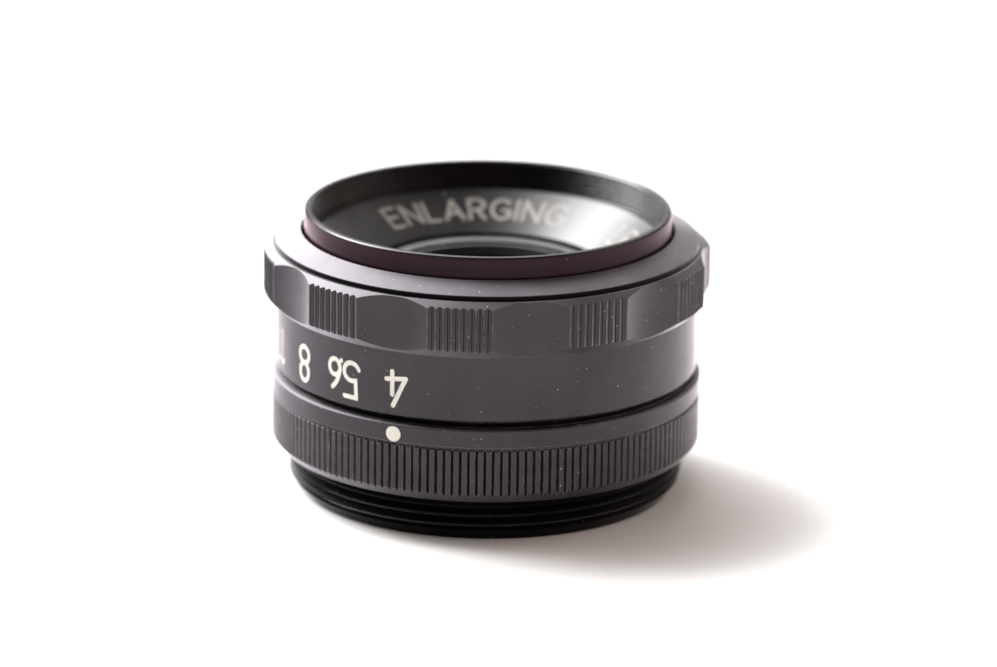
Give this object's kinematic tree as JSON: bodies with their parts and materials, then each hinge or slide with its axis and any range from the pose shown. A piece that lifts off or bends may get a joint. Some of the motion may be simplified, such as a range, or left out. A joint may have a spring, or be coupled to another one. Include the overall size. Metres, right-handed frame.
{
  "type": "enlarging lens",
  "caption": "Screw-thread enlarging lens with a scalloped, numbered aperture ring that closes a bladed iris by click stops.",
  "frame": {"origin": "centre of the rear rim's resting plane, on the optical axis", "axes": "+Z along the optical axis towards the front of the lens; the index dot and the 4 of the scale lie 24.7 degrees to the left of -Y"},
  "size_m": [0.044, 0.0442, 0.0282],
  "materials": {
    "black_anodised": "satin black anodised aluminium",
    "purple_anodised": "satin black anodised aluminium faded to purple-brown",
    "name_plate": "satin dark grey anodised aluminium with engraved light lettering",
    "inner_black": "matt black anodised aluminium",
    "blade_steel": "blackened spring steel",
    "steel": "plain steel",
    "brass": "turned brass",
    "glass": "polished coated optical glass"
  },
  "bodies": {
    "barrel": {"lens_barrel": "black_anodised", "index_ring": "black_anodised", "index_screw_1": "steel", "index_screw_2": "steel", "thrust_washer": "inner_black", "filter_ring": "purple_anodised", "name_ring": "name_plate", "front_cell": "inner_black", "front_element": "glass", "element_spacer": "inner_black", "second_element": "glass", "front_retainer": "inner_black", "iris_plate": "inner_black", "iris_retainer": "inner_black", "click_spring": "steel", "rear_cell": "inner_black", "rear_pair_front": "glass", "rear_pair_back": "glass", "rear_retainer": "inner_black"},
    "aperture": {"aperture_ring": "black_anodised", "drive_screw": "steel", "iris_cam_ring": "brass"},
    "blade_1": {"iris_blade_1": "blade_steel"},
    "blade_2": {"iris_blade_2": "blade_steel"},
    "blade_3": {"iris_blade_3": "blade_steel"},
    "blade_4": {"iris_blade_4": "blade_steel"},
    "blade_5": {"iris_blade_5": "blade_steel"},
    "blade_6": {"iris_blade_6": "blade_steel"},
    "blade_7": {"iris_blade_7": "blade_steel"},
    "blade_8": {"iris_blade_8": "blade_steel"},
    "click_ball": {"click_ball": "steel"}
  },
  "joints": [
    {"name": "aperture_turn", "type": "hinge", "parent": "barrel", "child": "aperture", "pos_m": [0, 0, 0.0184], "axis": [0, 0, 1], "range_deg": [0, 67.2]},
    {"name": "blade_1_turn", "type": "hinge", "parent": "barrel", "child": "blade_1", "pos_m": [0.012, 0, 0.0126], "axis": [0, 0, 1], "range_deg": [0, 20.01]},
    {"name": "blade_2_turn", "type": "hinge", "parent": "barrel", "child": "blade_2", "pos_m": [0.00849, 0.00849, 0.0126], "axis": [0, 0, 1], "range_deg": [0, 20.01]},
    {"name": "blade_3_turn", "type": "hinge", "parent": "barrel", "child": "blade_3", "pos_m": [0, 0.012, 0.0126], "axis": [0, 0, 1], "range_deg": [0, 20.01]},
    {"name": "blade_4_turn", "type": "hinge", "parent": "barrel", "child": "blade_4", "pos_m": [-0.00849, 0.00849, 0.0126], "axis": [0, 0, 1], "range_deg": [0, 20.01]},
    {"name": "blade_5_turn", "type": "hinge", "parent": "barrel", "child": "blade_5", "pos_m": [-0.012, 0, 0.0126], "axis": [0, 0, 1], "range_deg": [0, 20.01]},
    {"name": "blade_6_turn", "type": "hinge", "parent": "barrel", "child": "blade_6", "pos_m": [-0.00849, -0.00849, 0.0126], "axis": [0, 0, 1], "range_deg": [0, 20.01]},
    {"name": "blade_7_turn", "type": "hinge", "parent": "barrel", "child": "blade_7", "pos_m": [0, -0.012, 0.0126], "axis": [0, 0, 1], "range_deg": [0, 20.01]},
    {"name": "blade_8_turn", "type": "hinge", "parent": "barrel", "child": "blade_8", "pos_m": [0.00849, -0.00849, 0.0126], "axis": [0, 0, 1], "range_deg": [0, 20.01]},
    {"name": "click_ball_slide", "type": "slide", "parent": "barrel", "child": "click_ball", "axis": [0, 0, 1], "range_m": [0, 0.0002], "stiffness_N_per_m": 0.5, "springref_m": 0.0006, "deforming": ["click_spring"]}
  ],
  "couplings": [
    {"joint": "blade_1_turn", "follows": "aperture_turn", "ratio": 0.29762},
    {"joint": "blade_2_turn", "follows": "aperture_turn", "ratio": 0.29762},
    {"joint": "blade_3_turn", "follows": "aperture_turn", "ratio": 0.29762},
    {"joint": "blade_4_turn", "follows": "aperture_turn", "ratio": 0.29762},
    {"joint": "blade_5_turn", "follows": "aperture_turn", "ratio": 0.29762},
    {"joint": "blade_6_turn", "follows": "aperture_turn", "ratio": 0.29762},
    {"joint": "blade_7_turn", "follows": "aperture_turn", "ratio": 0.29762},
    {"joint": "blade_8_turn", "follows": "aperture_turn", "ratio": 0.29762}
  ]
}
